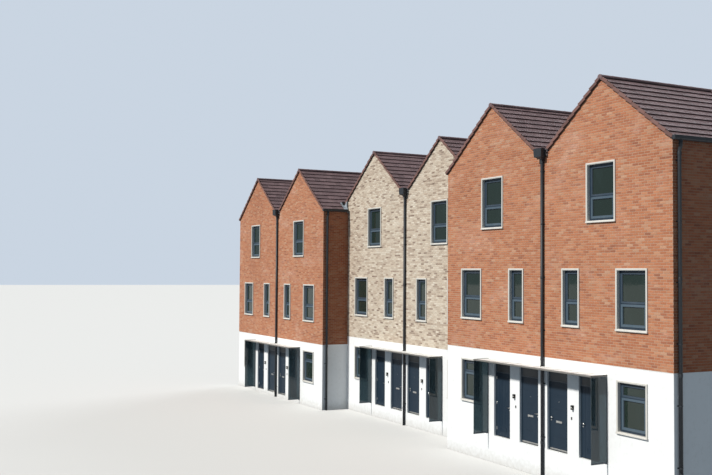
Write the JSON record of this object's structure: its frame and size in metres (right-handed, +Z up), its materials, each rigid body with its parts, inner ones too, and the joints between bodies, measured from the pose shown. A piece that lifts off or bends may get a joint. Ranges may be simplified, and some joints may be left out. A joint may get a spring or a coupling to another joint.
{
  "type": "stepped terraced house row",
  "caption": "Row of three-storey gabled terraced houses in mirrored pairs, brick over a white rendered ground floor, stepped in plan and in level, with hinged ground-floor doors.",
  "frame": {"origin": "middle of the plan, on the lowest ground", "axes": "+X along the row towards the highest pair, the street fronts face -Y, +Z up"},
  "size_m": [32.454, 9.197, 12.193],
  "materials": {
    "red_brick": "matte",
    "buff_brick": "matte",
    "white_render": "matte",
    "floor_deck": "matte",
    "roof_tile": "matte",
    "lead": "matte",
    "dark_metal": "satin",
    "pale_metal": "satin",
    "dark_frame": "satin",
    "glass": "clear",
    "tinted_glass": "clear",
    "canopy_panel": "matte",
    "black_metal": "satin",
    "door_paint": "satin"
  },
  "bodies": {
    "house_row": {"ground_bases": "white_render", "lower_ground_front": "white_render", "middle_ground_front": "white_render", "upper_ground_front": "white_render", "render_bands": "white_render", "lower_front_brick": "red_brick", "middle_front_brick": "buff_brick", "upper_front_brick": "red_brick", "lower_rear_wall": "red_brick", "middle_rear_wall": "buff_brick", "upper_rear_wall": "red_brick", "cross_walls": "red_brick", "upper_floors": "floor_deck", "roof_left_slopes": "roof_tile", "roof_right_slopes": "roof_tile", "roof_rear_hips": "roof_tile", "ridge_caps": "roof_tile", "hip_caps": "roof_tile", "valley_gutters": "lead", "eaves_gutters": "dark_metal", "rain_hoppers": "dark_metal", "downpipes": "dark_metal", "window_surrounds": "pale_metal", "window_frames": "dark_frame", "window_glazing": "glass", "canopies": "canopy_panel", "canopy_screens": "tinted_glass", "wall_lamps": "black_metal", "bell_plates": "black_metal", "door_jambs": "dark_frame", "door_heads": "dark_frame", "door_thresholds": "dark_metal"},
    "lower_left_store_door": {"lower_left_store_door": "door_paint"},
    "lower_left_front_door": {"lower_left_front_door": "door_paint"},
    "lower_right_store_door": {"lower_right_store_door": "door_paint"},
    "lower_right_front_door": {"lower_right_front_door": "door_paint"},
    "middle_left_store_door": {"middle_left_store_door": "door_paint"},
    "middle_left_front_door": {"middle_left_front_door": "door_paint"},
    "middle_right_store_door": {"middle_right_store_door": "door_paint"},
    "middle_right_front_door": {"middle_right_front_door": "door_paint"},
    "upper_left_store_door": {"upper_left_store_door": "door_paint"},
    "upper_left_front_door": {"upper_left_front_door": "door_paint"},
    "upper_right_store_door": {"upper_right_store_door": "door_paint"},
    "upper_right_front_door": {"upper_right_front_door": "door_paint"}
  },
  "joints": [
    {"name": "lower_left_store_door_hinge", "type": "hinge", "parent": "house_row", "child": "lower_left_store_door", "pos_m": [-13.158, -3.9035, 1.15], "axis": [0, 0, -1], "range_deg": [0, 90]},
    {"name": "lower_left_front_door_hinge", "type": "hinge", "parent": "house_row", "child": "lower_left_front_door", "pos_m": [-11.768, -3.8595, 1.15], "axis": [0, 0, 1], "range_deg": [0, 90]},
    {"name": "lower_right_store_door_hinge", "type": "hinge", "parent": "house_row", "child": "lower_right_store_door", "pos_m": [-8.142, -3.9035, 1.15], "axis": [0, 0, 1], "range_deg": [0, 90]},
    {"name": "lower_right_front_door_hinge", "type": "hinge", "parent": "house_row", "child": "lower_right_front_door", "pos_m": [-9.532, -3.8595, 1.15], "axis": [0, 0, -1], "range_deg": [0, 90]},
    {"name": "middle_left_store_door_hinge", "type": "hinge", "parent": "house_row", "child": "middle_left_store_door", "pos_m": [-2.508, -2.6035, 1.525], "axis": [0, 0, -1], "range_deg": [0, 90]},
    {"name": "middle_left_front_door_hinge", "type": "hinge", "parent": "house_row", "child": "middle_left_front_door", "pos_m": [-1.118, -2.5595, 1.525], "axis": [0, 0, 1], "range_deg": [0, 90]},
    {"name": "middle_right_store_door_hinge", "type": "hinge", "parent": "house_row", "child": "middle_right_store_door", "pos_m": [2.508, -2.6035, 1.525], "axis": [0, 0, 1], "range_deg": [0, 90]},
    {"name": "middle_right_front_door_hinge", "type": "hinge", "parent": "house_row", "child": "middle_right_front_door", "pos_m": [1.118, -2.5595, 1.525], "axis": [0, 0, -1], "range_deg": [0, 90]},
    {"name": "upper_left_store_door_hinge", "type": "hinge", "parent": "house_row", "child": "upper_left_store_door", "pos_m": [8.142, -3.9035, 1.9], "axis": [0, 0, -1], "range_deg": [0, 90]},
    {"name": "upper_left_front_door_hinge", "type": "hinge", "parent": "house_row", "child": "upper_left_front_door", "pos_m": [9.532, -3.8595, 1.9], "axis": [0, 0, 1], "range_deg": [0, 90]},
    {"name": "upper_right_store_door_hinge", "type": "hinge", "parent": "house_row", "child": "upper_right_store_door", "pos_m": [13.158, -3.9035, 1.9], "axis": [0, 0, 1], "range_deg": [0, 90]},
    {"name": "upper_right_front_door_hinge", "type": "hinge", "parent": "house_row", "child": "upper_right_front_door", "pos_m": [11.768, -3.8595, 1.9], "axis": [0, 0, -1], "range_deg": [0, 90]}
  ]
}
